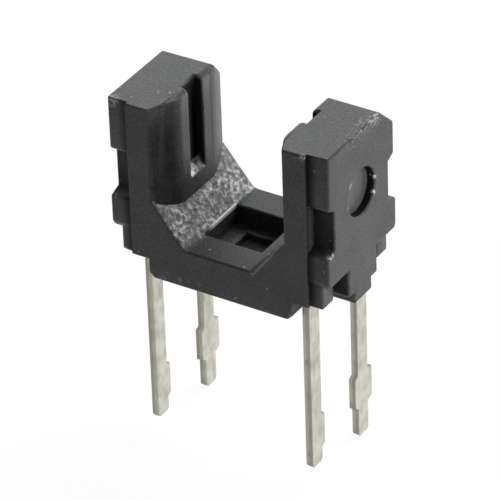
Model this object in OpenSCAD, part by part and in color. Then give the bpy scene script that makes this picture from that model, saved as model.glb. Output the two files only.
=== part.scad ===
// Slotted optical switch: a U-shaped moulding that holds an infrared emitter in one arm and a
// phototransistor in the other, on four flat leads. The origin is the middle of the seating face.

/* [Body] */
// Width over both arms
body_w = 6.0; // [5.8:0.1:7]
// Depth from front to back
body_d = 3.24; // [3.1:0.02:3.8]
// Height from the seating face to the top of the arms
body_h = 4.7; // [4.5:0.1:5.6]
// Run of the slope cut off the rear top edge of each arm
rear_slope_run = 0.72; // [0.3:0.02:0.8]
// Drop of the slope cut off the rear top edge of each arm
rear_slope_drop = 0.65; // [0.3:0.05:0.8]
// Radius of the inner top edge of each arm
crown_round = 0.18; // [0.1:0.01:0.3]

/* [Gap] */
// Clear width between the two arms at the light path
gap_w = 3.0; // [2.8:0.05:3.1]
// How far the front and rear ends of each inner wall fall away across the gap
flare_x = 0.33; // [0.15:0.01:0.36]
// How far along the depth that falling away reaches
flare_y = 0.94; // [0.6:0.01:0.98]
// How far the curve of those ends stands out from a straight line
flare_bulge = 0.04; // [0.02:0.01:0.05]
// Height of the gap's floor
floor_z = 1.05; // [0.95:0.05:1.3]
// Width of the flat part of the floor
floor_w = 1.9; // [1.6:0.1:2.1]
// Rise of the slopes beside the floor, up to the ends of the inner walls
slope_rise = 1.1; // [0.9:0.05:1.2]
// Radius between the floor and each slope
slope_fillet = 0.3; // [0.1:0.05:0.4]
// Reach of the pocket in the floor towards the emitter's arm
pocket_left = 0.93; // [0.6:0.01:0.94]
// Reach of the pocket in the floor towards the detector's arm
pocket_right = 0.66; // [0.56:0.01:0.94]
// Length of the pocket in the floor, along the depth
pocket_l = 1.5; // [1.1:0.1:1.9]
// Depth of the pocket in the floor
pocket_depth = 0.5; // [0.2:0.05:0.6]
// Width of the well in the pocket's floor
well_w = 1; // [0.4:0.05:1.1]
// Length of the well in the pocket's floor, along the depth
well_l = 1; // [0.4:0.05:1.05]
// Depth of the well under the pocket's floor
well_depth = 0.2; // [0.1:0.05:0.3]

/* [Light slots] */
// Width of each light slot
slot_w = 0.6; // [0.3:0.02:0.9]
// Depth of each light slot, from the inner wall to the capsule
slot_depth = 0.22; // [0.16:0.01:0.26]
// Height where the ramp at the foot of a slot meets the inner wall
slot_foot_z = 2.24; // [2.15:0.01:2.5]
// Height of the optical axis
axis_z = 3.02; // [2.9:0.01:3.2]

/* [Outer walls] */
// Width of the relief on each outer upright edge, along the width
relief_w = 0.56; // [0.3:0.02:0.6]
// How far that relief is set back from the front and rear faces
relief_set = 0.11; // [0.05:0.01:0.15]
// How far the notch half way up the edge is set back
notch_set = 0.36; // [0.2:0.02:0.38]
// Lower end of that notch
notch_low_z = 2.12; // [2:0.02:2.3]
// Upper end of that notch
notch_high_z = 3.16; // [2.9:0.02:3.3]
// Set-back of the swelling under the notch
swell_set = 0.04; // [0.02:0.01:0.05]
// Height of the sloped runs between notch, swelling and relief
edge_run = 0.12; // [0.05:0.01:0.2]
// Diameter of the round opening in each outer wall
opening_d = 1.22; // [0.9:0.02:1.3]
// Depth from the outer wall to the flat pad in that opening
opening_depth = 0.2; // [0.1:0.02:0.24]

/* [Base] */
// Width of the standing block under the gap
stand_w = 4.0; // [3.6:0.05:4.1]
// Chamfer on the lower end edges of the standing block
stand_chamfer = 0.15; // [0.05:0.01:0.2]
// Height of the corner feet above the seating face
foot_z = 0.5; // [0.35:0.05:0.55]
// How far the corner feet stand in from the outer walls
foot_inset = 0.22; // [0.1:0.02:0.3]
// Height where the outer walls begin, above the feet and the recesses beside them
skirt_z = 1.16; // [1.05:0.01:1.2]
// Width of each corner foot, along the depth
foot_d = 0.62; // [0.4:0.01:0.7]
// Depth of the recess between a foot and the tongue, from the outer wall
recess_depth = 0.55; // [0.3:0.05:0.6]
// Width of the middle tongue, along the depth
tongue_w = 1.3; // [1.1:0.05:1.4]
// Width of the tongue's lower end
tongue_tip_w = 0.8; // [0.6:0.05:1]
// Height of the tongue's lower end above the seating face
tongue_tip_z = 0.1; // [0.05:0.05:0.2]
// Height where the tongue grows to its whole width
tongue_step_z = 0.42; // [0.3:0.02:0.48]

/* [Leads] */
// Thickness of the lead strip
lead_t = 0.22; // [0.16:0.01:0.24]
// Width of each lead outside the body
lead_w = 0.47; // [0.4:0.01:0.5]
// Distance between the two rows of leads, across the gap
row_pitch = 4.38; // [4.34:0.01:4.44]
// Distance between the leads of one arm
lead_pitch = 2.2; // [2.1:0.02:2.24]
// Length of the two front leads under the seating face
front_lead_l = 4.36; // [4.2:0.02:6]
// Length of the two rear leads under the seating face
rear_lead_l = 4.8; // [4.2:0.05:6]
// Cut corner at each lead's end
tip_cut = 0.08; // [0.02:0.01:0.12]
// Depth under the seating face where the sheared tie stubs begin
tie_top = 2.95; // [2:0.05:3]
// Height of the sheared tie stubs
tie_h = 1.05; // [0.8:0.05:1.1]
// Height of the sloped ends of the tie stubs
tie_taper = 0.1; // [0.04:0.02:0.2]
// How far a tie stub stands out between the leads
tie_inner = 0.13; // [0.05:0.01:0.2]
// How far a tie stub stands out behind the rear leads
tie_outer = 0.2; // [0.05:0.01:0.25]
// Height above the feet where a lead begins to step sideways inside the body
jog_start = 0.3; // [0.2:0.05:0.35]
// Straight height between that step and the capsule
jog_clear = 0.1; // [0.05:0.01:0.15]

/* [Capsules] */
// Thickness of each inner capsule, from the light slot outwards
capsule_t = 0.88; // [0.8:0.02:0.9]
// Resin beside the lead strips inside each capsule
capsule_wall = 0.08; // [0.05:0.01:0.12]
// Lower end of each capsule
capsule_low_z = 1.3; // [1.26:0.01:1.36]
// Moulding above each capsule
capsule_cover = 0.25; // [0.22:0.01:0.4]

/* [Chips and wires] */
// Edge of each square chip
chip_w = 0.34; // [0.25:0.01:0.4]
// Thickness of each chip
chip_t = 0.14; // [0.1:0.01:0.15]
// Edge of each square die pad
pad_w = 0.8; // [0.7:0.02:0.84]
// Width of a lead strip inside the capsule
strip_w = 0.3; // [0.26:0.01:0.32]
// Clear distance between a die pad and the bonding post
post_gap = 0.12; // [0.1:0.01:0.13]
// Diameter of each bond wire
wire_d = 0.05; // [0.03:0.01:0.05]
// Height of the wire's loop above the chip
wire_loop = 0.05; // [0.04:0.01:0.06]
// How much thicker than the wire its knee on the post is
knee_extra = 0.02; // [0.02:0.01:0.04]
// Diameter of each bond
bond_d = 0.12; // [0.1:0.01:0.14]
// Thickness of each bond
bond_t = 0.06; // [0.06:0.01:0.08]

/* [Hidden] */
$fn = 64;
// Small overlap so that joined solids share volume, and cutters reach past what they cut
lap = 0.05;
half_w = body_w / 2;
half_d = body_d / 2;
half_gap = gap_w / 2;
flare_end = half_gap + flare_x;
flare_chord = sqrt(pow(flare_x, 2) + pow(flare_y, 2));
flare_radius = (pow(flare_chord / 2, 2) + pow(flare_bulge, 2)) / (2 * flare_bulge);
flare_reach = (flare_radius - flare_bulge) / flare_chord;
half_floor = floor_w / 2;
slope_top_z = floor_z + slope_rise;
slope_run = flare_end - half_floor;
slope_angle = atan2(slope_rise, slope_run);
fillet_run = slope_fillet * tan(slope_angle / 2);
wall_root_z = floor_z + slope_rise * (half_gap - half_floor) / slope_run;
inner_flat = half_d - flare_y;
window_x = half_gap + slot_depth;
capsule_out = window_x + capsule_t;
capsule_high_z = body_h - capsule_cover;
pad_out = half_w - opening_depth;
foot_out = half_w - foot_inset;
foot_in_y = half_d - foot_d;
lead_x = row_pitch / 2;
lead_near = lead_x - lead_t / 2;
lead_y = lead_pitch / 2;
jog_low_z = foot_z + jog_start;
jog_high_z = capsule_low_z - jog_clear;
pad_far = pad_w / 2;
post_near = pad_far + post_gap;
strip_y = post_near;
post_mid = post_near + strip_w / 2;
capsule_half = post_near + strip_w + capsule_wall;
post_high_z = axis_z + strip_w;
chip_face = lead_near - chip_t;
wire_lift = chip_face - bond_t / 2;
wire_radius = (pow(post_mid / 2, 2) + pow(wire_loop, 2)) / (2 * wire_loop);
wire_half_angle = asin(post_mid / 2 / wire_radius);
knee_d = wire_d + knee_extra;

// Puts a piece that is drawn for the right arm on the arm named by its sign.
module arm(side) {
    if (side > 0) children();
    else mirror([1, 0, 0]) children();
}

// Repeats a piece on both arms.
module both_arms() {
    arm(1) children();
    arm(-1) children();
}

// Repeats a piece at the front and the rear.
module front_and_rear() {
    children();
    mirror([0, 1, 0]) children();
}

// Sweeps an outline of width and height along the depth, by a length centred on the middle.
module along_depth(length) {
    rotate([90, 0, 0]) linear_extrude(length, center = true) children();
}

// Sweeps an outline of depth and height along the width, from one place to another.
module along_width(from, to) {
    translate([from, 0, 0]) rotate([90, 0, 90]) linear_extrude(to - from) children();
}

// The front view of the moulding: standing block, arms, floor and the two slopes.
module front_outline() {
    polygon([
        [-stand_w / 2, stand_chamfer], [-stand_w / 2 + stand_chamfer, 0],
        [stand_w / 2 - stand_chamfer, 0], [stand_w / 2, stand_chamfer],
        [stand_w / 2, foot_z], [half_w, foot_z],
        [half_w, body_h], [flare_end, body_h], [flare_end, slope_top_z], [half_floor, floor_z],
        [-half_floor, floor_z], [-flare_end, slope_top_z], [-flare_end, body_h], [-half_w, body_h],
        [-half_w, foot_z], [-stand_w / 2, foot_z]
    ]);
}

// The rounded corner between the floor and the right-hand slope.
module slope_round() {
    difference() {
        polygon([
            [half_floor - fillet_run, floor_z - lap], [half_floor + lap, floor_z - lap],
            [half_floor + fillet_run * cos(slope_angle), floor_z + fillet_run * sin(slope_angle)],
            [half_floor - fillet_run, floor_z + slope_fillet]
        ]);
        translate([half_floor - fillet_run, floor_z + slope_fillet]) circle(slope_fillet);
    }
}

// What the rounded rear end takes off the inner wall of the right arm, seen from above.
module flare_cut() {
    difference() {
        translate([half_gap - lap, inner_flat]) square([flare_x + 2 * lap, flare_y + lap]);
        translate([half_gap + flare_x / 2 + flare_reach * flare_y,
                   inner_flat + flare_y / 2 - flare_reach * flare_x]) circle(flare_radius);
    }
}

// The inner wall of the right arm seen from above, with ends that curve away from the gap.
module inner_wall_plan() {
    difference() {
        translate([half_gap, -half_d]) square([flare_x + lap, body_d]);
        flare_cut();
        mirror([0, 1]) flare_cut();
    }
}

// The stepped relief on an outer upright edge, as depth and height at the front face.
module edge_relief() {
    polygon([
        [-half_d - lap, 0], [-half_d + relief_set, 0], [-half_d + relief_set, skirt_z],
        [-half_d + swell_set, skirt_z + edge_run], [-half_d + swell_set, notch_low_z - edge_run],
        [-half_d + notch_set, notch_low_z], [-half_d + notch_set, notch_high_z],
        [-half_d + relief_set, notch_high_z + edge_run], [-half_d + relief_set, body_h + lap],
        [-half_d - lap, body_h + lap]
    ]);
}

// What the rounded inner top edge takes off the right arm, as width and height.
module crown_cut() {
    difference() {
        translate([half_gap - lap, body_h - crown_round]) square(crown_round + lap);
        translate([half_gap + crown_round, body_h - crown_round]) circle(crown_round);
    }
}

// The slope cut off the rear top edge.
module rear_slope() {
    polygon([
        [half_d - rear_slope_run, body_h], [half_d, body_h - rear_slope_drop],
        [half_d + lap, body_h - rear_slope_drop], [half_d + lap, body_h + lap],
        [half_d - rear_slope_run, body_h + lap]
    ]);
}

// A light slot, open at the top, with a ramp at its foot.
module slot_outline() {
    polygon([
        [half_gap - lap, slot_foot_z - lap], [window_x, slot_foot_z + slot_depth],
        [window_x, body_h + lap], [half_gap - lap, body_h + lap]
    ]);
}

// The middle tongue that carries the outer wall down beside the leads.
module tongue_outline() {
    polygon([
        [-tongue_tip_w / 2, tongue_tip_z], [tongue_tip_w / 2, tongue_tip_z],
        [tongue_tip_w / 2, tongue_step_z], [tongue_w / 2, tongue_step_z],
        [tongue_w / 2, foot_z + lap], [-tongue_w / 2, foot_z + lap],
        [-tongue_w / 2, tongue_step_z], [-tongue_tip_w / 2, tongue_step_z]
    ]);
}

// What is cut away at one outer corner of the base: the foot's side and the recess beside it.
module base_cuts() {
    translate([foot_out, -half_d - lap, foot_z - lap])
        cube([foot_inset + lap, half_d + lap - tongue_w / 2, skirt_z - foot_z + lap]);
    translate([half_w - recess_depth, -foot_in_y, foot_z - lap])
        cube([recess_depth + lap, foot_in_y - tongue_w / 2, skirt_z - foot_z + lap]);
}

// The solid moulding before the inner pieces are taken out of it.
module moulding() {
    along_depth(body_d) front_outline();
    both_arms() {
        along_depth(body_d) slope_round();
        translate([0, 0, wall_root_z - lap]) linear_extrude(body_h - wall_root_z + lap) inner_wall_plan();
        along_width(stand_w / 2 - stand_chamfer - lap, half_w) tongue_outline();
    }
}

// Everything that shapes the outside of the moulding.
module outside_cuts() {
    translate([-pocket_left, -pocket_l / 2, floor_z - pocket_depth])
        cube([pocket_left + pocket_right, pocket_l, pocket_depth + slope_fillet]);
    translate([-well_w / 2, -well_l / 2, floor_z - pocket_depth - well_depth])
        cube([well_w, well_l, well_depth + lap]);
    both_arms() {
        along_depth(slot_w) slot_outline();
        along_width(0, half_w + lap) rear_slope();
        along_depth(body_d + 2 * lap) crown_cut();
        translate([half_w - opening_depth, 0, axis_z]) rotate([0, 90, 0])
            cylinder(d = opening_d, h = opening_depth + lap);
        front_and_rear() {
            along_width(half_w - relief_w, half_w + lap) edge_relief();
            base_cuts();
        }
    }
}

// The outer shape of a capsule in the right arm: a block with a round locating pad on its back.
module capsule_block() {
    translate([window_x, -capsule_half, capsule_low_z])
        cube([capsule_t, 2 * capsule_half, capsule_high_z - capsule_low_z]);
    translate([capsule_out - lap, 0, axis_z]) rotate([0, 90, 0])
        cylinder(d = opening_d, h = pad_out - capsule_out + lap);
}

// One lead from its end to the top of its jog, as depth and height at the front.
module lead_shank(length) {
    near = lead_y - lead_w / 2;
    far = lead_y + lead_w / 2;
    polygon([
        [-far, -length + tip_cut], [-far + tip_cut, -length], [-near - tip_cut, -length],
        [-near, -length + tip_cut], [-near, jog_low_z], [-strip_y, jog_high_z],
        [-strip_y, capsule_low_z + lap], [-strip_y - strip_w, capsule_low_z + lap],
        [-strip_y - strip_w, jog_high_z], [-far, jog_low_z]
    ]);
}

// The sheared stub of the tie bar, on the right of a lead's edge.
module tie_stub(edge, reach) {
    translate([edge, 0]) polygon([
        [-lap, -tie_top - tie_h], [reach, -tie_top - tie_h + tie_taper],
        [reach, -tie_top - tie_taper], [-lap, -tie_top]
    ]);
}

// The lead that carries the die pad, drawn at the front.
module pad_lead_outline(length) {
    lead_shank(length);
    translate([-strip_y - strip_w, capsule_low_z]) square([strip_w, axis_z - capsule_low_z]);
    translate([-strip_y - strip_w, axis_z - pad_far]) square([strip_y + strip_w + pad_far, pad_w]);
}

// The lead that carries the bonding post, drawn at the front.
module post_lead_outline(length) {
    lead_shank(length);
    translate([-strip_y - strip_w, capsule_low_z]) square([strip_w, post_high_z - capsule_low_z]);
}

// A lead of the right arm at the front, with its stub facing the rear lead.
module front_lead(carries_pad) {
    along_width(lead_near, lead_near + lead_t) {
        if (carries_pad) pad_lead_outline(front_lead_l);
        else post_lead_outline(front_lead_l);
        tie_stub(-lead_y + lead_w / 2, tie_inner);
    }
}

// A lead of the right arm at the rear, with a stub on both sides.
module rear_lead(carries_pad) {
    along_width(lead_near, lead_near + lead_t) {
        mirror([1, 0]) {
            if (carries_pad) pad_lead_outline(rear_lead_l);
            else post_lead_outline(rear_lead_l);
            tie_stub(-lead_y + lead_w / 2, tie_inner);
        }
        tie_stub(lead_y + lead_w / 2, tie_outer);
    }
}

// A chip on its die pad in the right arm, looking across the gap.
module chip_block() {
    translate([chip_face, -chip_w / 2, axis_z - chip_w / 2]) cube([chip_t, chip_w, chip_w]);
}

// A bond wire in the right arm, from the chip to a post at the rear.
module wire_loop_shape() {
    translate([wire_lift - bond_t / 2, 0, axis_z]) rotate([0, 90, 0]) cylinder(d = bond_d, h = bond_t);
    translate([wire_lift - wire_loop + wire_radius, post_mid / 2, axis_z])
        rotate([0, 0, 180 - wire_half_angle])
            rotate_extrude(angle = 2 * wire_half_angle) translate([wire_radius, 0]) circle(d = wire_d);
    translate([wire_lift - wire_d / 2, post_mid, axis_z]) rotate([0, 90, 0])
        cylinder(d = knee_d, h = lead_near - wire_lift + wire_d / 2);
    translate([lead_near - bond_t, post_mid, axis_z]) rotate([0, 90, 0]) cylinder(d = bond_d, h = bond_t);
}

// All that is moulded into a capsule of the right arm, with the die pad at the front or the rear.
module capsule_contents(pad_at_front) {
    front_lead(pad_at_front);
    rear_lead(!pad_at_front);
    chip_block();
    if (pad_at_front) wire_loop_shape();
    else mirror([0, 1, 0]) wire_loop_shape();
}

module housing() {
    color("#2c2d2f") difference() {
        moulding();
        outside_cuts();
        both_arms() {
            capsule_block();
            front_lead(false);
            rear_lead(false);
        }
    }
}

module emitter_capsule() {
    color("#23262b") arm(-1) difference() {
        capsule_block();
        capsule_contents(false);
    }
}

module detector_capsule() {
    color("#1d1e21") difference() {
        capsule_block();
        capsule_contents(true);
    }
}

module emitter_chip() {
    color("#8a7f8f") arm(-1) chip_block();
}

module detector_chip() {
    color("#4f5468") chip_block();
}

module anode_lead() {
    color("#c9c9c2") arm(-1) front_lead(false);
}

module cathode_lead() {
    color("#c9c9c2") arm(-1) rear_lead(true);
}

module collector_lead() {
    color("#c9c9c2") front_lead(true);
}

module emitter_lead() {
    color("#c9c9c2") rear_lead(false);
}

module anode_wire() {
    color("#d9b24a") arm(-1) mirror([0, 1, 0]) wire_loop_shape();
}

module base_wire() {
    color("#d9b24a") wire_loop_shape();
}

housing();
emitter_capsule();
detector_capsule();
emitter_chip();
detector_chip();
anode_lead();
cathode_lead();
collector_lead();
emitter_lead();
anode_wire();
base_wire();
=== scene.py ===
"""Looks of a miniature slotted optical switch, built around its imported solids.

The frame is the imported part's: the origin is the middle of the seating face, +Z is up, +X runs from
the emitter's arm to the detector's arm, and -Y is the front. Meshes, lamps and the floor are in metres.
Sizes of finishes and of rounded edges are in millimetres, because the part is only six of them wide.
"""

from __future__ import annotations

import logging
import math
from abc import ABC, abstractmethod
from dataclasses import dataclass, field
from enum import Enum
from functools import cached_property, reduce
from operator import mul, or_

import bmesh
import bpy
import numpy as np
from mathutils import Matrix, Vector


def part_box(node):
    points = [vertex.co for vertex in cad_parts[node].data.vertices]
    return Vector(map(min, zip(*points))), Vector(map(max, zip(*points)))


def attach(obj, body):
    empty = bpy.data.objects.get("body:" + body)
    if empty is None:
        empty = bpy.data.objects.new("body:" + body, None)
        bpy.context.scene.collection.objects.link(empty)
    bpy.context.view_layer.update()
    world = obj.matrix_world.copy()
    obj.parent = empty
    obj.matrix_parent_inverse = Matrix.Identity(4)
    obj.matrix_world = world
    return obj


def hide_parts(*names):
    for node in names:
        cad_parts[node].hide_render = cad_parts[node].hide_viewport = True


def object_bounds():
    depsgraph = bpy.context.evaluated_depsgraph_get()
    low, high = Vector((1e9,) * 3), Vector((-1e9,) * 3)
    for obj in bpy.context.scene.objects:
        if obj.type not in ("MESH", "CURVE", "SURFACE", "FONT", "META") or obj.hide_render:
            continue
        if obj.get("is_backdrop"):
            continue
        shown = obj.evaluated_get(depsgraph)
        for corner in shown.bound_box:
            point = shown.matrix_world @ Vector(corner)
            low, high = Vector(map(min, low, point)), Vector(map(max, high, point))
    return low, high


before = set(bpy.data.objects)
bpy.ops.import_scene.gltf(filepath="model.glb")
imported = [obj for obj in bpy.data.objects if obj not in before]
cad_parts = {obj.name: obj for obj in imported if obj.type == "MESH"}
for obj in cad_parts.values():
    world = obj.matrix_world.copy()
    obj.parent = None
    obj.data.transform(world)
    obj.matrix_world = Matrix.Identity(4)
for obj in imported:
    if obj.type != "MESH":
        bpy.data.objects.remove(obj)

Colour = tuple[float, float, float]
Point = tuple[float, float, float]

MILLIMETRE = 0.001
BODY = "root"
WHITE: Colour = (1.0, 1.0, 1.0)
EVEN: Point = (1.0, 1.0, 1.0)
log = logging.getLogger("optical_switch")


class Axis(Enum):
    """The three directions of the part's frame, by the names of a Separate XYZ node's outputs."""

    ACROSS = "X"
    DEPTH = "Y"
    HEIGHT = "Z"


class Slot(Enum):
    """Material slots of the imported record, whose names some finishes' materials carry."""

    HOUSING = "housing"
    EMITTER_CAPSULE = "emitter_capsule"
    DETECTOR_CAPSULE = "detector_capsule"
    EMITTER_CHIP = "emitter_chip"
    DETECTOR_CHIP = "detector_chip"
    LEAD = "lead"


@dataclass(frozen=True)
class Band:
    """Two values between which a mask fades."""

    low: float
    high: float

    def about(self, place: float) -> Band:
        """The same band, counted from a place."""
        return Band(place + self.low, place + self.high)


@dataclass(frozen=True)
class Line:
    """A straight line: its base, and its gain where a mask is 1."""

    base: float
    gain: float

    def over(self, mask: Signal) -> Signal:
        """The line's value over a mask."""
        return self.base + mask * self.gain


class Signal:
    """A number on a node's socket, which works in Python expressions."""

    def __init__(self, bench: Bench, socket: bpy.types.NodeSocket | None) -> None:
        """Wraps the socket of a node in the bench's tree."""
        self.bench = bench
        self.socket = socket

    def _math(self, operation: str, *values: Signal | float) -> Signal:
        """Adds a Math node with these inputs in order."""
        return self.bench.add("ShaderNodeMath", {"operation": operation}, dict(enumerate(values)))

    def __add__(self, other: Signal | float) -> Signal:
        """Sum."""
        return self._math("ADD", self, other)

    def __radd__(self, other: float) -> Signal:
        """Sum with a number on the left."""
        return self._math("ADD", other, self)

    def __sub__(self, other: Signal | float) -> Signal:
        """Difference."""
        return self._math("SUBTRACT", self, other)

    def __rsub__(self, other: float) -> Signal:
        """Difference from a number on the left."""
        return self._math("SUBTRACT", other, self)

    def __mul__(self, other: Signal | float) -> Signal:
        """Product."""
        return self._math("MULTIPLY", self, other)

    def __rmul__(self, other: float) -> Signal:
        """Product with a number on the left."""
        return self._math("MULTIPLY", other, self)

    def __truediv__(self, other: Signal | float) -> Signal:
        """Quotient."""
        return self._math("DIVIDE", self, other)

    def __rtruediv__(self, other: float) -> Signal:
        """Quotient of a number on the left."""
        return self._math("DIVIDE", other, self)

    def __abs__(self) -> Signal:
        """Magnitude."""
        return self._math("ABSOLUTE", self)

    def __or__(self, other: Signal | float) -> Signal:
        """Greater of two masks."""
        return self._math("MAXIMUM", self, other)

    def __ror__(self, other: float) -> Signal:
        """Greater of a number and a mask."""
        return self._math("MAXIMUM", other, self)

    def beside(self, other: Signal) -> Signal:
        """Distance from the corner of two lengths at right angles: the root of the sum of their squares."""
        return self._math("SQRT", self * self + other * other)

    def rise(self, band: Band) -> Signal:
        """Soft step.

        Args:
            band: the values up to which the step is 0 and from which it is 1.

        Returns:
            A mask from 0 to 1.
        """
        sockets = {"Value": self, "From Min": band.low, "From Max": band.high}
        return self.bench.add("ShaderNodeMapRange", {"interpolation_type": "SMOOTHSTEP"}, sockets)

    def fall(self, band: Band) -> Signal:
        """The soft step upside down: 1 up to the band, 0 beyond it."""
        return 1.0 - self.rise(band)


class MixSocket(int, Enum):
    """Numbers of a Mix node's sockets when it mixes colours, because their names aren't unique."""

    FACTOR = 0
    LOW = 6
    HIGH = 7
    RESULT = 2


class Bench:
    """The node tree of one material, with the one method that adds nodes to it."""

    def __init__(self, tree: bpy.types.NodeTree) -> None:
        """Starts from an empty tree."""
        self.tree = tree
        self.tree.nodes.clear()

    def add(self, kind: str, settings: dict | None = None, sockets: dict | None = None,
            out: int | str = 0) -> Signal:
        """Adds a node.

        Args:
            kind: the node's type.
            settings: properties of the node, set first.
            sockets: values or links of its inputs, by name or number.
            out: the output to return.

        Returns:
            That output, or an empty signal for a node without outputs.
        """
        node = self.tree.nodes.new(kind)
        for name, value in (settings or {}).items():
            setattr(node, name, value)
        for name, value in (sockets or {}).items():
            if isinstance(value, Signal):
                self.tree.links.new(value.socket, node.inputs[name])
            else:
                node.inputs[name].default_value = value
        return Signal(self, node.outputs[out] if node.outputs else None)

    @cached_property
    def place(self) -> Signal:
        """Object coordinates in millimetres."""
        metres = self.add("ShaderNodeTexCoord", out="Object")
        return self.vector("SCALE", {0: metres, "Scale": 1.0 / MILLIMETRE})

    @cached_property
    def at(self) -> dict[Axis, Signal]:
        """The three numbers of the place."""
        return self.parts(self.place)

    def vector(self, operation: str, sockets: dict, out: int | str = 0) -> Signal:
        """Adds a Vector Math node."""
        return self.add("ShaderNodeVectorMath", {"operation": operation}, sockets, out)

    def parts(self, vector: Signal) -> dict[Axis, Signal]:
        """The three numbers of a vector."""
        node = self.add("ShaderNodeSeparateXYZ", sockets={"Vector": vector}).socket.node
        return {axis: Signal(self, node.outputs[axis.value]) for axis in Axis}

    def facing(self) -> dict[Axis, Signal]:
        """The three numbers of the surface's own direction."""
        return self.parts(self.add("ShaderNodeNewGeometry", out="Normal"))

    def stretch(self, factors: Point) -> Signal:
        """The place with its axes scaled, so that a pattern on it comes out drawn long.

        Args:
            factors: what each axis is multiplied by.

        Returns:
            The scaled place, or the place itself where the factors are even.
        """
        if factors == EVEN:
            return self.place
        return self.vector("MULTIPLY", {0: self.place, 1: factors})

    def distance(self, point: Point) -> Signal:
        """Distance from the place to a point."""
        return self.vector("DISTANCE", {0: self.place, 1: point}, "Value")

    def blend(self, share: Signal, low: Signal | Colour, high: Signal | Colour) -> Signal:
        """A colour between two.

        Args:
            share: how much of the second colour there is.
            low: the first colour.
            high: the second colour.

        Returns:
            The mixed colour.
        """
        ends = [value if isinstance(value, Signal) else (*value, 1.0) for value in (low, high)]
        settings = {"data_type": "RGBA", "clamp_factor": True}
        sockets = {MixSocket.FACTOR: share, MixSocket.LOW: ends[0], MixSocket.HIGH: ends[1]}
        return self.add("ShaderNodeMix", settings, sockets, MixSocket.RESULT)

    def bump(self, height: Signal, depth: float, onto: Signal | None = None) -> Signal:
        """A bumped normal.

        Args:
            height: the pattern, from 0 to 1.
            depth: how far the pattern stands out, in millimetres.
            onto: a normal that is already bumped.

        Returns:
            The new normal.
        """
        sockets = {"Height": height, "Distance": depth * MILLIMETRE, "Strength": 1.0}
        if onto is not None:
            sockets["Normal"] = onto
        return self.add("ShaderNodeBump", None, sockets)

    def surface(self, sockets: dict) -> Signal:
        """A Principled shader with these inputs."""
        return self.add("ShaderNodeBsdfPrincipled", None, sockets)

    def mix(self, share: Signal, first: Signal, second: Signal) -> Signal:
        """A shader between two."""
        return self.add("ShaderNodeMixShader", None, {0: share, 1: first, 2: second})

    def show(self, shader: Signal) -> None:
        """Links a shader to the material's output."""
        self.add("ShaderNodeOutputMaterial", None, {"Surface": shader})

    def seen_directly(self) -> Signal:
        """Tells the rays that show the background: from the camera, in gloss and through glass.

        Returns:
            A mask of those rays.
        """
        node = self.add("ShaderNodeLightPath").socket.node
        names = ("Is Camera Ray", "Is Glossy Ray", "Is Transmission Ray")
        camera, glossy, through = (Signal(self, node.outputs[name]) for name in names)
        return camera | glossy | through


class Region(ABC):
    """A place on a piece, given as a mask from 0 to 1."""

    @abstractmethod
    def mask(self, bench: Bench) -> Signal:
        """Adds the region's nodes.

        Args:
            bench: the material's node tree.

        Returns:
            The mask.
        """


@dataclass(frozen=True)
class Clouds(Region):
    """Cloudy noise around a half: points to a millimetre, detail, fade of its mask, scale of its axes."""

    per_millimetre: float
    detail: float
    fade: Band = Band(0.3, 0.7)
    scale: Point = EVEN

    def read(self, bench: Bench) -> Signal:
        """The noise over a piece."""
        sockets = {"Vector": bench.stretch(self.scale), "Scale": self.per_millimetre, "Detail": self.detail}
        return bench.add("ShaderNodeTexNoise", None, sockets)

    def mask(self, bench: Bench) -> Signal:
        """Where the noise is high."""
        return self.read(bench).rise(self.fade)


@dataclass(frozen=True)
class Marks(Region):
    """Scattered round marks: points to a millimetre, fade in cells, points kept, scale of the axes."""

    per_millimetre: float
    fade: Band
    kept: Band
    scale: Point = EVEN

    def mask(self, bench: Bench) -> Signal:
        """Near a scattered point whose own number is kept.

        Args:
            bench: the material's node tree.

        Returns:
            The mask.
        """
        sockets = {"Vector": bench.stretch(self.scale), "Scale": self.per_millimetre}
        distance = bench.add("ShaderNodeTexVoronoi", None, sockets, "Distance")
        own = bench.parts(Signal(bench, distance.socket.node.outputs["Color"]))[Axis.ACROSS]
        return distance.fall(self.fade) * own.rise(self.kept)


@dataclass(frozen=True)
class Span(Region):
    """A stretch along an axis, from the band where it starts to the band where it ends.

    Across and in depth it lies on both sides of the middle alike, unless it is one-sided.
    """

    axis: Axis
    start: Band | None = None
    end: Band | None = None
    one_sided: bool = False

    def mask(self, bench: Bench) -> Signal:
        """Between the two bands, or on one side of the one that is given.

        Args:
            bench: the material's node tree.

        Returns:
            The mask.
        """
        both_sides = self.axis is not Axis.HEIGHT and not self.one_sided
        at = abs(bench.at[self.axis]) if both_sides else bench.at[self.axis]
        steps = []
        if self.start is not None:
            steps.append(at.rise(self.start))
        if self.end is not None:
            steps.append(at.fall(self.end))
        return reduce(mul, steps)


@dataclass(frozen=True)
class Slant(Region):
    """The two planes that rise outwards from the middle, at a foot's height where they start."""

    start: float
    foot: float
    pitch: float
    fade: Band

    def mask(self, bench: Bench) -> Signal:
        """Near the planes: the height differs little from the foot plus the pitch times the way out."""
        way_out = abs(bench.at[Axis.ACROSS]) - self.start
        return abs(bench.at[Axis.HEIGHT] - self.foot - way_out * self.pitch).fall(self.fade)


@dataclass(frozen=True)
class Rod(Region):
    """A straight line along an axis through a point."""

    axis: Axis
    through: Point
    fade: Band

    def mask(self, bench: Bench) -> Signal:
        """Near the line, by the distance along the other two axes.

        Args:
            bench: the material's node tree.

        Returns:
            The mask.
        """
        through = dict(zip(Axis, self.through))
        first, second = (bench.at[axis] - through[axis] for axis in Axis if axis is not self.axis)
        return first.beside(second).fall(self.fade)


@dataclass(frozen=True)
class Ball(Region):
    """A point with a reach, a share of which is its full core."""

    middle: Point
    reach: float
    core: float = 0.3

    def mask(self, bench: Bench) -> Signal:
        """Near the point."""
        return bench.distance(self.middle).fall(Band(self.core * self.reach, self.reach))


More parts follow.
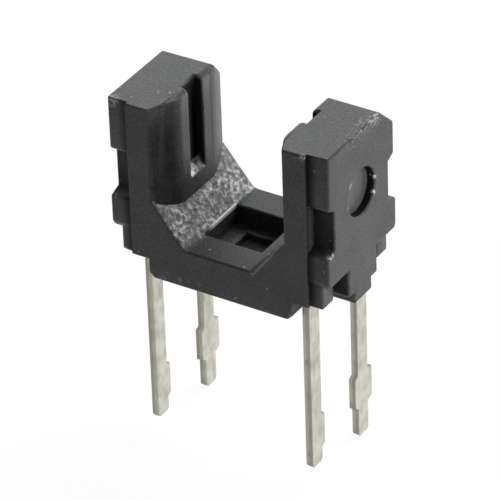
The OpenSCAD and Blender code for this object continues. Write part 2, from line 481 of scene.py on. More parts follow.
@dataclass(frozen=True)
class Upward(Region):
    """Faces that look up, by the height of their direction."""

    fade: Band

    def mask(self, bench: Bench) -> Signal:
        """Where the surface's direction is high."""
        return bench.facing()[Axis.HEIGHT].rise(self.fade)


@dataclass(frozen=True)
class Overlap(Region):
    """Where all of several regions are, at a share."""

    regions: tuple[Region, ...]
    share: float = 1.0

    def mask(self, bench: Bench) -> Signal:
        """The product of the masks, times the share."""
        return reduce(mul, [region.mask(bench) for region in self.regions]) * self.share


@dataclass(frozen=True)
class Union(Region):
    """Where any of several regions is."""

    regions: tuple[Region, ...]

    def mask(self, bench: Bench) -> Signal:
        """The greatest of the masks."""
        return reduce(or_, [region.mask(bench) for region in self.regions])


@dataclass(frozen=True)
class MouldSizes:
    """Places on the moulding that its finish follows, in millimetres."""

    top: float = 4.7
    half_width: float = 3.0
    half_depth: float = 1.62
    half_gap: float = 1.5
    floor: float = 1.05
    floor_half: float = 0.95
    slope_rise: float = 1.1
    slope_end: float = 1.83
    pocket_left: float = 0.93
    slot_half: float = 0.3
    slot_foot: float = 2.24
    slot_depth: float = 0.22
    ramp_pitch: float = 1.0
    strip_half: float = 0.62
    relief_from: float = 2.44
    relief_set: float = 0.11
    axis_height: float = 3.02
    opening_radius: float = 0.61
    recess_from: float = 2.45
    tongue_half: float = 0.65
    foot_from: float = 1.0
    skirt: float = 1.16

    @property
    def window(self) -> float:
        """Distance of the light slots' windows from the middle."""
        return self.half_gap + self.slot_depth

    @property
    def slope_top(self) -> float:
        """Height at which the slopes end."""
        return self.floor + self.slope_rise

    @property
    def slope_pitch(self) -> float:
        """Rise of the slopes for each millimetre outwards."""
        return self.slope_rise / (self.slope_end - self.floor_half)

    @property
    def relief_face(self) -> float:
        """Distance of the reliefs' set-back faces from the middle."""
        return self.half_depth - self.relief_set


MOULD = MouldSizes()


class Finish(ABC):
    """A surface finish, which is made into one material."""

    @property
    @abstractmethod
    def title(self) -> str:
        """The material's name."""

    @abstractmethod
    def paint(self, bench: Bench) -> None:
        """Adds the finish's nodes.

        Args:
            bench: the material's node tree.
        """

    def material(self) -> bpy.types.Material:
        """Makes the material the first time that it is asked for.

        Returns:
            The finish's material.
        """
        made = bpy.data.materials.get(self.title)
        if made is None:
            made = bpy.data.materials.new(self.title)
            made.use_nodes = True
            self.paint(Bench(made.node_tree))
        return made


@dataclass(frozen=True)
class MouldPlaces:
    """Regions of the moulding that look different from the rest, many of them given painted shade or
    painted light.
    """

    # The slots' ramps: rough like the slopes, with flecks of painted highlight on them.
    ramps: Region = Overlap((
        Slant(MOULD.half_gap, MOULD.slot_foot, MOULD.ramp_pitch, Band(0.03, 0.06)),
        Span(Axis.ACROSS, Band(-0.01, 0.02).about(MOULD.half_gap), Band(0.0, 0.02).about(MOULD.window)),
        Span(Axis.DEPTH, end=Band(-0.02, 0.01).about(MOULD.slot_half)),
    ))
    # The rough slopes: their paler tone is partly painted sheen, and they carry painted glints.
    slopes: Region = Overlap((
        Slant(MOULD.floor_half, MOULD.floor, MOULD.slope_pitch, Band(0.05, 0.09)),
        Span(Axis.ACROSS, start=Band(-0.10, 0.10).about(MOULD.floor_half)),
        Span(Axis.HEIGHT, end=Band(-0.01, 0.03).about(MOULD.slope_top)),
        Span(Axis.DEPTH, end=Band(-0.02, -0.004).about(MOULD.half_depth)),
        Upward(Band(0.3, 0.5)),
    ))
    # Painted shade: the walls of the light slots are darkened as if unlit.
    slot_walls: Region = Overlap((
        Span(Axis.ACROSS, Band(0.015, 0.05).about(MOULD.half_gap), Band(0.01, 0.03).about(MOULD.window)),
        Span(Axis.DEPTH, end=Band(0.01, 0.02).about(MOULD.slot_half)),
        Span(Axis.HEIGHT, end=Band(-0.12, -0.04).about(MOULD.top)),
    ))
    # Painted shade: the walls of the bore behind the round opening.
    bore_walls: Region = Overlap((
        Rod(Axis.ACROSS, (0.0, 0.0, MOULD.axis_height), Band(0.005, 0.015).about(MOULD.opening_radius)),
        Span(Axis.ACROSS, Band(-0.3, -0.25).about(MOULD.half_width),
             Band(-0.05, -0.025).about(MOULD.half_width)),
    ))
    # Painted shade in the corners of the reliefs.
    relief_corners: Region = Overlap((
        Span(Axis.ACROSS, Band(-0.012, -0.004).about(MOULD.relief_from),
             Band(0.03, 0.30).about(MOULD.relief_from)),
        Span(Axis.DEPTH, Band(-0.03, -0.01).about(MOULD.relief_face),
             Band(-0.03, -0.01).about(MOULD.half_depth)),
    ), share=0.8)
    # Painted shade at the root of the right slope.
    slope_root: Region = Overlap((
        Span(Axis.ACROSS, Band(-0.02, 0.06).about(MOULD.floor_half), Band(1.35, 1.45), one_sided=True),
        Span(Axis.DEPTH, end=Band(1.56, 1.60)),
        Span(Axis.HEIGHT, end=Band(2.0, 2.1)),
    ), share=0.8)
    # Painted shade in the notches.
    notches: Region = Overlap((
        Span(Axis.ACROSS, Band(-0.01, 0.01).about(MOULD.relief_from),
             Band(-0.06, -0.01).about(MOULD.half_width)),
        Span(Axis.DEPTH, Band(-0.39, -0.37).about(MOULD.half_depth),
             Band(-0.06, 0.0).about(MOULD.relief_face)),
        Span(Axis.HEIGHT, Band(2.02, 2.12), Band(3.2, 3.28)),
    ), share=0.75)
    # Painted shade in the recesses between the feet and the tongues.
    foot_recesses: Region = Overlap((
        Span(Axis.ACROSS, Band(-0.02, 0.0).about(MOULD.recess_from),
             Band(-0.10, 0.0).about(MOULD.half_width)),
        Span(Axis.DEPTH, Band(-0.01, 0.0).about(MOULD.tongue_half),
             Band(0.0, 0.01).about(MOULD.foot_from)),
        Span(Axis.HEIGHT, end=Band(0.0, 0.01).about(MOULD.skirt)),
    ), share=0.85)
    # Painted reflection: the inner strips beside the slots are made paler.
    gap_strips: Region = Overlap((
        Span(Axis.ACROSS, end=Band(0.015, 0.04).about(MOULD.half_gap)),
        Span(Axis.DEPTH, end=Band(-0.05, 0.05).about(MOULD.strip_half)),
        Span(Axis.HEIGHT, start=Band(2.2, 2.9)),
    ))
    gap_floor: Region = Overlap((
        Span(Axis.ACROSS, end=Band(0.0, 0.05).about(MOULD.floor_half)),
        Span(Axis.HEIGHT, Band(-0.04, -0.02).about(MOULD.floor), Band(0.02, 0.04).about(MOULD.floor)),
    ))
    # Painted highlight along the left rim of the pocket.
    pocket_rim: Region = Overlap((
        Rod(Axis.DEPTH, (-MOULD.pocket_left, 0.0, MOULD.floor), Band(0.03, 0.08)),
        Span(Axis.DEPTH, Band(-0.6, -0.3), Band(0.68, 0.76), one_sided=True),
    ), share=0.9)

    def painted_shade_places(self) -> Region:
        """The places given painted shade, weaker where the shade is lighter."""
        return Union((self.relief_corners, self.slope_root, self.notches, self.foot_recesses))


@dataclass(frozen=True)
class MouldWearAndGlints:
    """Regions of the moulding that are rubbed, and places given painted glints and a painted highlight."""

    top_edge: Region = Overlap((
        Rod(Axis.DEPTH, (MOULD.half_width, 0.0, MOULD.top), Band(0.05, 0.34)),
        Span(Axis.DEPTH, Band(-0.75, -0.2), Band(0.75, 0.95), one_sided=True),
        Clouds(13.0, 4.0, Band(0.47, 0.66), (1.0, 0.55, 1.0)),
        Clouds(2.6, 2.0, Band(0.26, 0.62)),
    ))
    # Painted highlight along the front edge of the right slope.
    slope_edge_highlight: Region = Overlap((
        Slant(MOULD.floor_half, MOULD.floor, MOULD.slope_pitch, Band(0.05, 0.10)),
        Span(Axis.DEPTH, end=Band(0.03, 0.06).about(-MOULD.half_depth), one_sided=True),
        Span(Axis.ACROSS, Band(0.9, 1.0), Band(1.4, 1.6), one_sided=True),
    ), share=0.5)
    lower_edge: Region = Overlap((
        Span(Axis.DEPTH, end=Band(-1.60, -1.52), one_sided=True),
        Span(Axis.HEIGHT, end=Band(0.05, 0.42)),
        Span(Axis.ACROSS, end=Band(1.9, 2.2)),
        Clouds(7.0, 4.0, Band(0.55, 0.72)),
    ), share=0.5)
    # Painted glints on corners, edges and the rim of the round opening.
    spots: Region = Union((
        Ball((-2.86, -1.54, 4.62), 0.26),
        Ball((2.36, -1.62, 4.66), 0.14),
        Ball((2.98, -1.45, 2.06), 0.17),
        Ball((-2.90, -1.58, 2.04), 0.14),
        Ball((0.92, -1.61, 1.07), 0.12),
        Ball((2.98, -0.49, 3.43), 0.12),
        Ball((2.98, -0.62, 2.93), 0.12),
        Ball((2.98, 0.56, 2.70), 0.10),
        Ball((2.98, 0.60, 3.10), 0.10),
    ))
    flecks: Region = Clouds(9.0, 3.0, Band(0.44, 0.58))

    def rubbed_and_glinting(self) -> Region:
        """All the rubbed places with the painted slope-edge highlight, and the spots of painted glints
        broken up by flecks.
        """
        return Union((self.top_edge, self.slope_edge_highlight, self.lower_edge, Overlap((self.spots, self.flecks))))


@dataclass(frozen=True)
class MouldedPlastic(Finish):
    """Matte black moulding: fine grain, rough slopes, scuffed edges and a few specks. It has painted shade
    in its slots, bores and hollows, a painted reflection on the inner strips, painted sheen on the slopes,
    and painted glints and highlights.
    """

    places: MouldPlaces = MouldPlaces()
    worn_and_glinting: MouldWearAndGlints = MouldWearAndGlints()
    dark: Colour = (0.018, 0.018, 0.0185)
    pale: Colour = (0.052, 0.0525, 0.054)
    # Painted shade for the slot and bore walls and the hollows.
    painted_shade_tone: Colour = (0.010, 0.010, 0.010)
    # The rough slopes' paler tone, partly painted sheen.
    slope_tone_and_sheen: Colour = (0.175, 0.175, 0.172)
    # Painted glints and highlights on the slopes, the ramps and the pocket's rim.
    spark: Colour = (0.62, 0.62, 0.60)
    # Real scuffs and specks, and painted glints and a painted edge highlight.
    scuff_and_glint_tone: Colour = (0.40, 0.40, 0.38)
    # Painted reflection on the inner strips beside the slots.
    painted_reflection_tone: Colour = (0.115, 0.115, 0.113)
    clouds: Clouds = Clouds(1.6, 3.0)
    cloud_share: float = 0.35
    grain: Clouds = Clouds(19.0, 3.0, Band(0.36, 0.64))
    grain_share: float = 0.65
    grain_depth: float = 0.010
    flakes: Clouds = Clouds(2.2, 3.0, scale=(1.0, 0.7, 1.0))
    flake_share: float = 0.45
    crystals: Clouds = Clouds(9.0, 3.0, Band(0.34, 0.78), (1.0, 0.8, 1.0))
    crystal_share: float = 0.75
    crystal_depth: float = 0.05
    # Painted glints on the rough slopes and ramps.
    sparkle: Band = Band(0.40, 1.2)
    sparkle_share: float = 0.75
    strip_reflection_share: Line = Line(0.35, 0.5)
    slope_fade: Band = Band(0.30, 0.60)
    slope_cover: Line = Line(0.3, 0.7)
    # Flecks of painted highlight on the ramps.
    ramp_flecks: Clouds = Clouds(6.0, 2.0, Band(0.30, 0.56))
    specks: Marks = Marks(4.5, Band(0.05, 0.14), Band(0.80, 0.82))
    speck_share: float = 0.8
    scuff_and_glint_share: float = 0.85
    gloss: Line = Line(0.34, 0.1)
    rough_gloss: float = 0.2
    spark_gloss: float = 0.15
    sheen: float = 0.27
    dull_gloss: float = 0.8
    dull_sheen: float = 0.08
    floor_dullness: Line = Line(0.15, 0.4)

    @property
    def title(self) -> str:
        """The material's name."""
        return "moulded_plastic"

    def paint(self, bench: Bench) -> None:
        """Lays the tones over each other, painted shade, reflection, sheen, glints and highlights among
        them, and mixes a dull shader in where shade is painted and on the gap's floor.

        Args:
            bench: the material's node tree.
        """
        places = self.places
        clouds = self.clouds.read(bench)
        grain = self.grain.read(bench)
        crystals = self.crystals.read(bench)
        ramps = places.ramps.mask(bench)
        rough = places.slopes.mask(bench) | ramps
        # Painted shade on the slot and bore walls, less where they are rough, and in the hollows.
        smooth = places.slot_walls.mask(bench) | places.bore_walls.mask(bench)
        painted_shade_mask = smooth * (1.0 - rough) | places.painted_shade_places().mask(bench)
        mottle = clouds.rise(self.clouds.fade) * self.cloud_share
        mottle = mottle + grain.rise(self.grain.fade) * self.grain_share
        glitter = self.flakes.mask(bench) * self.flake_share
        glitter = glitter + crystals.rise(self.crystals.fade) * self.crystal_share
        # Painted glints on the rough slopes and ramps.
        sparkle = glitter.rise(self.sparkle) * rough * self.sparkle_share
        crust = self.slope_cover.over(crystals.rise(self.slope_fade))
        strip_reflection = places.gap_strips.mask(bench) * self.strip_reflection_share.over(clouds)
        specks = self.specks.mask(bench) * self.speck_share
        # Scuffs and specks, with painted glints and the painted slope-edge highlight.
        wear_and_glints = self.worn_and_glinting.rubbed_and_glinting().mask(bench) * self.scuff_and_glint_share | specks
        # Painted highlights: the pocket's left rim and flecks on the ramps.
        bright = places.pocket_rim.mask(bench) | ramps * self.ramp_flecks.mask(bench)

        tone = bench.blend(mottle, self.dark, self.pale)
        # Painted reflection on the inner strips.
        tone = bench.blend(strip_reflection, tone, self.painted_reflection_tone)
        # Painted shade in the slots, the bore and the hollows.
        tone = bench.blend(painted_shade_mask, tone, self.painted_shade_tone)
        # The slopes' pale tone, partly painted sheen.
        tone = bench.blend(rough * crust, tone, self.slope_tone_and_sheen)
        # Painted glints on the slopes and ramps.
        tone = bench.blend(sparkle, tone, self.spark)
        # Scuffs and specks, and painted glints at the spots.
        tone = bench.blend(wear_and_glints, tone, self.scuff_and_glint_tone)
        # Painted highlights on the pocket's rim and the ramps.
        tone = bench.blend(bright, tone, self.spark)
        gloss = self.gloss.over(clouds) + rough * self.rough_gloss - sparkle * self.spark_gloss
        skin = bench.bump(grain, self.grain_depth)
        skin = bench.bump(crystals * rough, self.crystal_depth, skin)

        common = {"Base Color": tone, "Normal": skin}
        level = "Specular IOR Level"
        shiny = bench.surface({**common, "Roughness": gloss, level: self.sheen})
        dull = bench.surface({**common, "Roughness": self.dull_gloss, level: self.dull_sheen})
        # The dull shader deepens the painted shade and dulls the gap's floor.
        share = painted_shade_mask | places.gap_floor.mask(bench) * self.floor_dullness.over(clouds)
        bench.show(bench.mix(share, shiny, dull))


@dataclass(frozen=True)
class CapsuleResin(Finish):
    """Smooth dark resin that lets infrared light through, with faint flow marks, and painted shade on the
    windows.
    """

    slot: Slot
    body: Colour = (0.050, 0.050, 0.049)
    flow: Colour = (0.064, 0.064, 0.062)
    # Painted shade: the inner ends, the windows, are darkened as if unlit inside the slots.
    window: Colour = (0.006, 0.006, 0.006)
    window_shade_end: Band = Band(1.9, 2.0)
    swirl: Clouds = Clouds(3.0, 3.0, Band(0.35, 0.65), (1.0, 1.0, 0.35))
    fine: Clouds = Clouds(40.0, 2.0)
    fine_depth: float = 0.002
    gloss: Line = Line(0.24, 0.10)
    sheen: float = 0.16

    @property
    def title(self) -> str:
        """The material's name."""
        return f"resin_{self.slot.value}"

    def paint(self, bench: Bench) -> None:
        """Swirls two tones, and paints shade on the inner ends, which are the windows.

        Args:
            bench: the material's node tree.
        """
        fine = self.fine.read(bench)
        tone = bench.blend(self.swirl.mask(bench), self.body, self.flow)
        # Painted shade on the windows.
        tone = bench.blend(abs(bench.at[Axis.ACROSS]).fall(self.window_shade_end), tone, self.window)
        gloss = self.gloss.over(fine)
        skin = bench.bump(fine, self.fine_depth)
        sockets = {"Base Color": tone, "Roughness": gloss, "Normal": skin, "Specular IOR Level": self.sheen}
        bench.show(bench.surface(sockets))


@dataclass(frozen=True)
class TinPlate(Finish):
    """Tin-plated strip: satin faces with faint drawing lines and spots, duller sheared edges."""

    face: Colour = (0.68, 0.66, 0.59)
    cloud: Colour = (0.44, 0.43, 0.37)
    sheared: Colour = (0.27, 0.268, 0.225)
    spot: Colour = (0.22, 0.21, 0.18)
    edge: Band = Band(0.45, 0.85)
    edge_share: float = 0.75
    lines: Clouds = Clouds(2.2, 3.0, scale=(6.0, 14.0, 0.7))
    line_depth: float = 0.004
    clouds: Clouds = Clouds(2.4, 4.0, Band(0.35, 0.7))
    cloud_share: float = 0.7
    smudges: Clouds = Clouds(7.0, 4.0, Band(0.50, 0.72), (1.0, 1.0, 0.35))
    smudge_share: float = 0.6
    spots: Marks = Marks(5.0, Band(0.10, 0.32), Band(0.80, 0.86), (1.0, 1.0, 0.6))
    spot_patches: Band = Band(0.45, 0.6)
    spot_share: float = 0.6
    strip_middle: float = 2.19
    strip_half: float = 0.11
    tear: Line = Line(-0.4, 0.8)
    torn_from: Band = Band(-0.2, 0.15)
    torn_share: float = 0.35
    torn_grain: Clouds = Clouds(18.0, 3.0)
    torn_floor: float = 0.3
    torn_depth: float = 0.006
    gloss: Line = Line(0.33, 0.16)
    dull_gloss: float = 0.2

    @property
    def title(self) -> str:
        """The material's name."""
        return "tin_plate"

    def paint(self, bench: Bench) -> None:
        """Clouds the faces, and dulls the sheared edges, whose outer half is torn.

        Args:
            bench: the material's node tree.
        """
        edge = abs(bench.facing()[Axis.ACROSS]).fall(self.edge)
        lines = self.lines.read(bench)
        clouds = self.clouds.read(bench)
        spots = self.spots.mask(bench) * clouds.rise(self.spot_patches)
        outward = (abs(bench.at[Axis.ACROSS]) - self.strip_middle) / self.strip_half
        torn = (outward + self.tear.over(clouds)).rise(self.torn_from) * edge
        stain = clouds.rise(self.clouds.fade) * self.cloud_share
        stain = stain + self.smudges.mask(bench) * self.smudge_share

        tone = bench.blend(stain, self.face, self.cloud)
        tone = bench.blend(edge * self.edge_share, tone, self.sheared)
        tone = bench.blend(torn * self.torn_share | spots * self.spot_share, tone, self.spot)
        gloss = self.gloss.over(lines) + torn * self.dull_gloss + spots * self.dull_gloss
        skin = bench.bump(lines, self.line_depth)
        skin = bench.bump(self.torn_grain.read(bench) * (self.torn_floor + torn), self.torn_depth, skin)
        bench.show(bench.surface({"Base Color": tone, "Metallic": 1.0, "Roughness": gloss, "Normal": skin}))


@dataclass(frozen=True)
class ChipFace(Finish):
    """Polished semiconductor with a metal contact in the middle and a border round the edge."""

    slot: Slot
    crystal: Colour
    sawn: Colour = (0.5, 0.5, 0.55)
    metal: Colour = (0.82, 0.66, 0.30)
    middle_height: float = 3.02
    contact: Band = Band(0.06, 0.07)
    border: Band = Band(0.15, 0.158)
    border_share: float = 0.5
    saw_marks: Clouds = Clouds(1.0, 2.0, scale=(3.0, 40.0, 40.0))
    saw_share: float = 0.25
    saw_depth: float = 0.001
    gloss: Line = Line(0.18, 0.2)

    @property
    def title(self) -> str:
        """The material's name."""
        return f"semiconductor_{self.slot.value}"

    def paint(self, bench: Bench) -> None:
        """Draws a round contact and a square border on sawn crystal.

        Args:
            bench: the material's node tree.
        """
        depth = bench.at[Axis.DEPTH]
        lift = bench.at[Axis.HEIGHT] - self.middle_height
        contact = depth.beside(lift).fall(self.contact)
        border = (abs(depth) | abs(lift)).rise(self.border)
        saw_marks = self.saw_marks.read(bench)
        tone = bench.blend(saw_marks * self.saw_share, self.crystal, self.sawn)
        tone = bench.blend(contact | border * self.border_share, tone, self.metal)
        gloss = self.gloss.over(saw_marks)
        skin = bench.bump(saw_marks, self.saw_depth)
        sockets = {"Base Color": tone, "Metallic": contact, "Roughness": gloss, "Normal": skin}
        bench.show(bench.surface(sockets))


@dataclass(frozen=True)
class DrawnGold(Finish):
    """Fine gold wire with drawing lines."""

    bright: Colour = (0.90, 0.70, 0.30)
    dull: Colour = (0.72, 0.52, 0.20)
    lines: Clouds = Clouds(1.0, 3.0, scale=(40.0, 4.0, 40.0))
    line_depth: float = 0.001
    gloss: Line = Line(0.22, 0.16)

    @property
    def title(self) -> str:
        """The material's name."""
        return "drawn_gold"

    def paint(self, bench: Bench) -> None:
        """Streaks two tones along the wire.

        Args:
            bench: the material's node tree.
        """
        lines = self.lines.read(bench)
        tone = bench.blend(lines, self.bright, self.dull)
        gloss = self.gloss.over(lines)
        skin = bench.bump(lines, self.line_depth)
        bench.show(bench.surface({"Base Color": tone, "Metallic": 1.0, "Roughness": gloss, "Normal": skin}))


@dataclass(frozen=True)
class PaleFloor(Finish):
    """White studio floor that keeps a faint shadow."""

    white: Colour = (0.92, 0.92, 0.92)
    lift: float = 0.94

    @property
    def title(self) -> str:
        """The material's name."""
        return "pale_floor"

    def paint(self, bench: Bench) -> None:
        """Mixes a glow into the white where the floor is seen directly.

        Args:
            bench: the material's node tree.
        """
        shaded = bench.add("ShaderNodeBsdfDiffuse", None, {"Color": (*self.white, 1.0)})
        glow = bench.add("ShaderNodeEmission", None, {"Color": (*WHITE, 1.0), "Strength": 1.0})
        bench.show(bench.mix(bench.seen_directly() * self.lift, shaded, glow))


@dataclass
class RoundedCopy:
    """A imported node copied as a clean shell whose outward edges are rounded; millimetres and degrees.

    The copy keeps the node's place. Its loose triangles are merged and flat neighbours are joined,
    and a Bevel modifier rounds the edges that carry a weight.
    """

    node: str
    edge_round: float
    segments: int = 3
    sharp_angle: float = 28.0
    merge_gap: float = 1e-4
    flat_angle: float = 0.6
    short_edge: float = 0.25
    blunt_angle: float = 80.0
    keep_sharp: tuple[str, ...] = ()
    margin: float = 0.01
    crisp_at: tuple[float, ...] = ()
    crisp_gap: float = 0.01
    cut_heights: tuple[float, ...] = ()

    def shell(self) -> bpy.types.Mesh:
        """Copies the node's mesh, merges its doubles, joins its flat faces and cuts it at some heights.

        Returns:
            The new mesh, with bevel weights on its edges.
        """
        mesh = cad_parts[self.node].data.copy()
        mesh.name = f"{self.node}_shell"
        work = bmesh.new()
        work.from_mesh(mesh)
        bmesh.ops.remove_doubles(work, verts=work.verts, dist=self.merge_gap * MILLIMETRE)
        bmesh.ops.dissolve_limit(work, angle_limit=math.radians(self.flat_angle),
                                 use_dissolve_boundaries=False, verts=work.verts, edges=work.edges)
        for height in self.cut_heights:
            pieces = [*work.verts, *work.edges, *work.faces]
            level = Vector((0.0, 0.0, height * MILLIMETRE))
            bmesh.ops.bisect_plane(work, geom=pieces, plane_co=level, plane_no=(0.0, 0.0, 1.0))
        for face in work.faces:
            face.smooth = True
        self.weigh_edges(work)
        work.to_mesh(mesh)
        work.free()
        return mesh

    def weigh_edges(self, work: bmesh.types.BMesh) -> None:
        """Gives a bevel weight to outward edges and leaves the rest sharp.

        Edges that an inner piece touches, short edges that turn little, and edges at the crisp places
        get no weight.

        Args:
            work: the shell, whose edges are marked.
        """
        weight = work.edges.layers.float.new("bevel_weight_edge")
        boxes = [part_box(name) for name in self.keep_sharp]
        margin = Vector((self.margin, self.margin, self.margin)) * MILLIMETRE
        for edge in work.edges:
            if len(edge.link_faces) != 2:
                continue
            turn = math.degrees(edge.calc_face_angle_signed())
            middle = (edge.verts[0].co + edge.verts[1].co) / 2
            hidden = any(self.within(middle, low - margin, high + margin) for low, high in boxes)
            short = edge.calc_length() < self.short_edge * MILLIMETRE and turn < self.blunt_angle
            across = abs(middle.x) / MILLIMETRE
            crisp = any(abs(across - place) < self.crisp_gap for place in self.crisp_at)
            rounded = turn > self.sharp_angle and not hidden and not short and not crisp
            edge[weight] = 1.0 if rounded else 0.0
            edge.smooth = rounded or abs(turn) < self.sharp_angle

    @staticmethod
    def within(point: Vector, low: Vector, high: Vector) -> bool:
        """True where a point lies in a box."""
        return all(least <= value <= most for least, value, most in zip(low, point, high))

    def build(self, finish: Finish, slot: Slot) -> bpy.types.Object:
        """Makes the piece and puts it in the node's place.

        Args:
            finish: what the piece is dressed with.
            slot: the record's material slot; not used.

        Returns:
            The piece.
        """
        mesh = self.shell()
        mesh.materials.clear()
        mesh.materials.append(finish.material())
        piece = bpy.data.objects.new(f"{self.node}_rounded", mesh)
        bpy.context.scene.collection.objects.link(piece)
        bevel = piece.modifiers.new("edge_round", "BEVEL")
        bevel.limit_method = "WEIGHT"
        bevel.width = self.edge_round * MILLIMETRE
        bevel.segments = self.segments
        bevel.use_clamp_overlap = False
        bevel.harden_normals = False
        bevel.miter_outer = "MITER_ARC"
        even = piece.modifiers.new("even_faces", "WEIGHTED_NORMAL")
        even.keep_sharp = True
        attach(piece, BODY)
        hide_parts(self.node)
        log.info("%s: %d faces before rounding", piece.name, len(mesh.polygons))
        return piece


@dataclass
class Housing:
    """The U-shaped moulding with both arms, floor, standing block and feet."""

    edge_round: float = 0.055
    inner_nodes: tuple[str, ...] = ("emitter_capsule", "detector_capsule", "anode_lead", "cathode_lead",
                                    "collector_lead", "emitter_lead")

    def build(self) -> list[bpy.types.Object]:
        """Makes the housing.

        Returns:
            The new piece.
        """
        crisp = (MOULD.relief_from, MOULD.pocket_left)
        copy = RoundedCopy("housing", self.edge_round, keep_sharp=self.inner_nodes, crisp_at=crisp)
        return [copy.build(MouldedPlastic(), Slot.HOUSING)]


@dataclass
class Capsules:
    """The two inner capsules with their chips and bond wires."""

    edge_round: float = 0.02
    segments: int = 2
    emitter_crystal: Colour = (0.30, 0.27, 0.32)
    detector_crystal: Colour = (0.16, 0.18, 0.28)
    wires: tuple[str, ...] = ("anode_wire", "base_wire")
    held: dict[Slot, tuple[str, ...]] = field(default_factory=lambda: {
        Slot.EMITTER_CAPSULE: ("emitter_chip", "anode_wire", "anode_lead", "cathode_lead"),
        Slot.DETECTOR_CAPSULE: ("detector_chip", "base_wire", "collector_lead", "emitter_lead"),
    })

    def build(self) -> list[bpy.types.Object]:
        """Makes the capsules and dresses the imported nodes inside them.

        Returns:
            The new pieces.
        """
        made = []
        for slot, inner in self.held.items():
            copy = RoundedCopy(slot.value, self.edge_round, self.segments, keep_sharp=inner)
            made.append(copy.build(CapsuleResin(slot), slot))
        self.dress("emitter_chip", ChipFace(Slot.EMITTER_CHIP, self.emitter_crystal))
        self.dress("detector_chip", ChipFace(Slot.DETECTOR_CHIP, self.detector_crystal))
        for wire in self.wires:
            self.dress(wire, DrawnGold())
        return made

    @staticmethod
    def dress(node: str, finish: Finish) -> None:
        """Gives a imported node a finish.

        Args:
            node: the node's name.
            finish: what it is dressed with.
        """
        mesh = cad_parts[node].data
        mesh.materials.clear()
        mesh.materials.append(finish.material())
        log.info("%s: dressed", node)


@dataclass
class Leads:
    """The four flat leads, cut clear above and below their stubs so that the rounding there stays even."""

    edge_round: float = 0.05
    stub_top: float = 2.95
    stub_foot: float = 4.0
    clear_rounds: float = 2.0
    names: tuple[str, ...] = ("anode_lead", "cathode_lead", "collector_lead", "emitter_lead")

    def build(self) -> list[bpy.types.Object]:
        """Makes the leads.

        Returns:
            The new pieces.
        """
        finish = TinPlate()
        clear = self.edge_round * self.clear_rounds
        cuts = (clear - self.stub_top, -self.stub_foot - clear)
        copies = [RoundedCopy(name, self.edge_round, cut_heights=cuts) for name in self.names]
        return [copy.build(finish, Slot.LEAD) for copy in copies]


@dataclass
class SoftBox:
    """A rectangular soft lamp, placed by its direction from the part; metres."""

    title: str
    toward: Point
    distance: float
    width: float
    height: float
    level: float
    tint: Colour = WHITE
    in_gloss: bool = False

    def build(self, middle: Vector) -> None:
        """Makes the lamp. Its power is its level times the square of pi and of its distance.

        Args:
            middle: the point that the lamp is aimed at.
        """
        lamp = bpy.data.lights.new(self.title, "AREA")
        lamp.shape = "RECTANGLE"
        lamp.size = self.width
        lamp.size_y = self.height
        lamp.color = self.tint
        lamp.energy = self.level * math.pi ** 2 * self.distance ** 2
        holder = bpy.data.objects.new(self.title, lamp)
        away = Vector(self.toward).normalized()
        holder.location = middle + away * self.distance
        holder.rotation_euler = away.to_track_quat("Z", "Y").to_euler()
        holder.visible_camera = False
        holder.visible_glossy = self.in_gloss
        bpy.context.scene.collection.objects.link(holder)


@dataclass
class PhotoCamera:
    """The photograph's camera: a long lens from the front right and above, turned a little.

    Angles are degrees, the distance and the clipping are metres, and the aim is millimetres.
    """

    azimuth: float = 32.34
    elevation: float = 32.40
    roll: float = 2.015
    distance: float = 0.101
    lens: float = 307.5
    aim: Point = (0.0, -0.204, 2.174)
    aim_right: float = 0.041
    aim_up: float = -1.334
    nearest: float = 0.001
    farthest: float = 10.0

    def build(self) -> None:
        """Places the camera round the aim, then turns it to a point a little beside the aim."""
        turn = math.radians(self.azimuth)
        lift = math.radians(self.elevation)
        tilt = math.radians(self.roll)
        level = Vector((math.sin(turn), -math.cos(turn), 0.0))
        back = level * math.cos(lift) + Vector((0.0, 0.0, math.sin(lift)))
        right = Vector((math.cos(turn), math.sin(turn), 0.0))
        up = back.cross(right)
        image_right = right * math.cos(tilt) - up * math.sin(tilt)
        image_up = right * math.sin(tilt) + up * math.cos(tilt)
        aim = Vector(self.aim) * MILLIMETRE
        eye = aim + back * self.distance
        seen = aim + (image_right * self.aim_right + image_up * self.aim_up) * MILLIMETRE
        forward = (seen - eye).normalized()
        side = forward.cross(image_up).normalized()
        data = bpy.data.cameras.new("photo_camera")
        data.lens = self.lens
        data.clip_start = self.nearest
        data.clip_end = self.farthest
        holder = bpy.data.objects.new("photo_camera", data)
        turned = Matrix((side, side.cross(forward), -forward)).transposed()
        holder.matrix_world = Matrix.Translation(eye) @ turned.to_4x4()
        bpy.context.scene.collection.objects.link(holder)
        bpy.context.scene.camera = holder


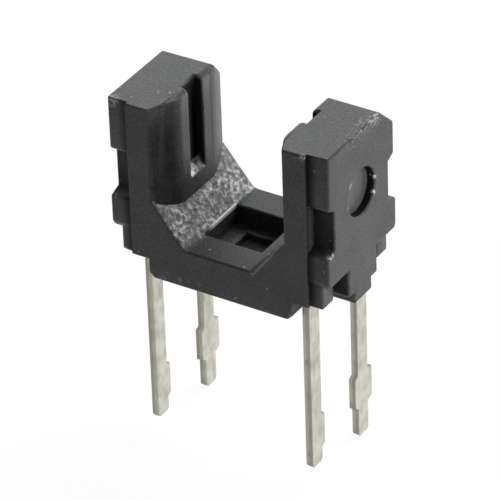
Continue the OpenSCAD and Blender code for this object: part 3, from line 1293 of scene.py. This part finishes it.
@dataclass
class Studio:
    """White surroundings, a pale floor, soft lamps and the camera at the photograph's angle."""

    floor_edge: float = 0.6
    floor_rows: int = 9
    fill: float = 0.025
    cool: Colour = (0.965, 0.985, 1.0)

    def lamps(self) -> list[SoftBox]:
        """The lamps: a large one behind, a weak one whose reflection the tops show, and one at the side.

        Returns:
            The three lamps.
        """
        return [
            SoftBox("rear_softbox", toward=(0.18, 0.82, 0.54), distance=0.085, width=0.055, height=0.10,
                    level=2.1, tint=self.cool),
            SoftBox("left_softbox", toward=(-0.45, 0.71, 0.54), distance=0.085, width=0.07, height=0.05,
                    level=0.29, tint=self.cool, in_gloss=True),
            SoftBox("side_softbox", toward=(0.98, 0.12, 0.12), distance=0.09, width=0.03, height=0.03,
                    level=1.1),
        ]

    def floor(self, height: float) -> None:
        """Makes the floor: a level square grid over two parameters from minus a half to a half of its edge.

        Args:
            height: the floor's height in metres.
        """
        steps = np.linspace(-0.5, 0.5, self.floor_rows) * self.floor_edge
        across, depth = np.meshgrid(steps, steps)
        points = np.stack([across, depth, np.full_like(across, height)], axis=-1).reshape(-1, 3)
        row = self.floor_rows
        corner = (np.arange(row - 1)[:, None] * row + np.arange(row - 1)).reshape(-1, 1)
        faces = corner + np.array([0, 1, row + 1, row])
        mesh = bpy.data.meshes.new("floor")
        mesh.from_pydata(points.tolist(), [], faces.tolist())
        mesh.materials.append(PaleFloor().material())
        plate = bpy.data.objects.new("floor", mesh)
        bpy.context.scene.collection.objects.link(plate)
        plate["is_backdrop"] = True

    def surroundings(self) -> None:
        """Makes the world white where it is seen, and a plain fill light for the rest."""
        world = bpy.data.worlds.new("white_room")
        world.use_nodes = True
        bench = Bench(world.node_tree)
        strength = bench.seen_directly() * (1.0 - self.fill) + self.fill
        glow = bench.add("ShaderNodeBackground", None, {"Color": (*WHITE, 1.0), "Strength": strength})
        bench.add("ShaderNodeOutputWorld", None, {"Surface": glow})
        bpy.context.scene.world = world

    def build(self, low: Vector, high: Vector) -> None:
        """Sets the stage round the part.

        Args:
            low: the lowest corner of the part's box.
            high: its highest corner.
        """
        PhotoCamera().build()
        self.floor(low.z)
        self.surroundings()
        for lamp in self.lamps():
            lamp.build((low + high) / 2)
        bpy.context.scene.view_settings.view_transform = "Standard"


def main() -> None:
    """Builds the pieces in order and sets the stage."""
    logging.basicConfig(level=logging.INFO, format="%(message)s")
    low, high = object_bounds()
    for assembly in (Housing(), Capsules(), Leads()):
        pieces = assembly.build()
        log.info("%s: %d pieces", type(assembly).__name__, len(pieces))
    Studio().build(low, high)


if __name__ == "__main__":
    main()
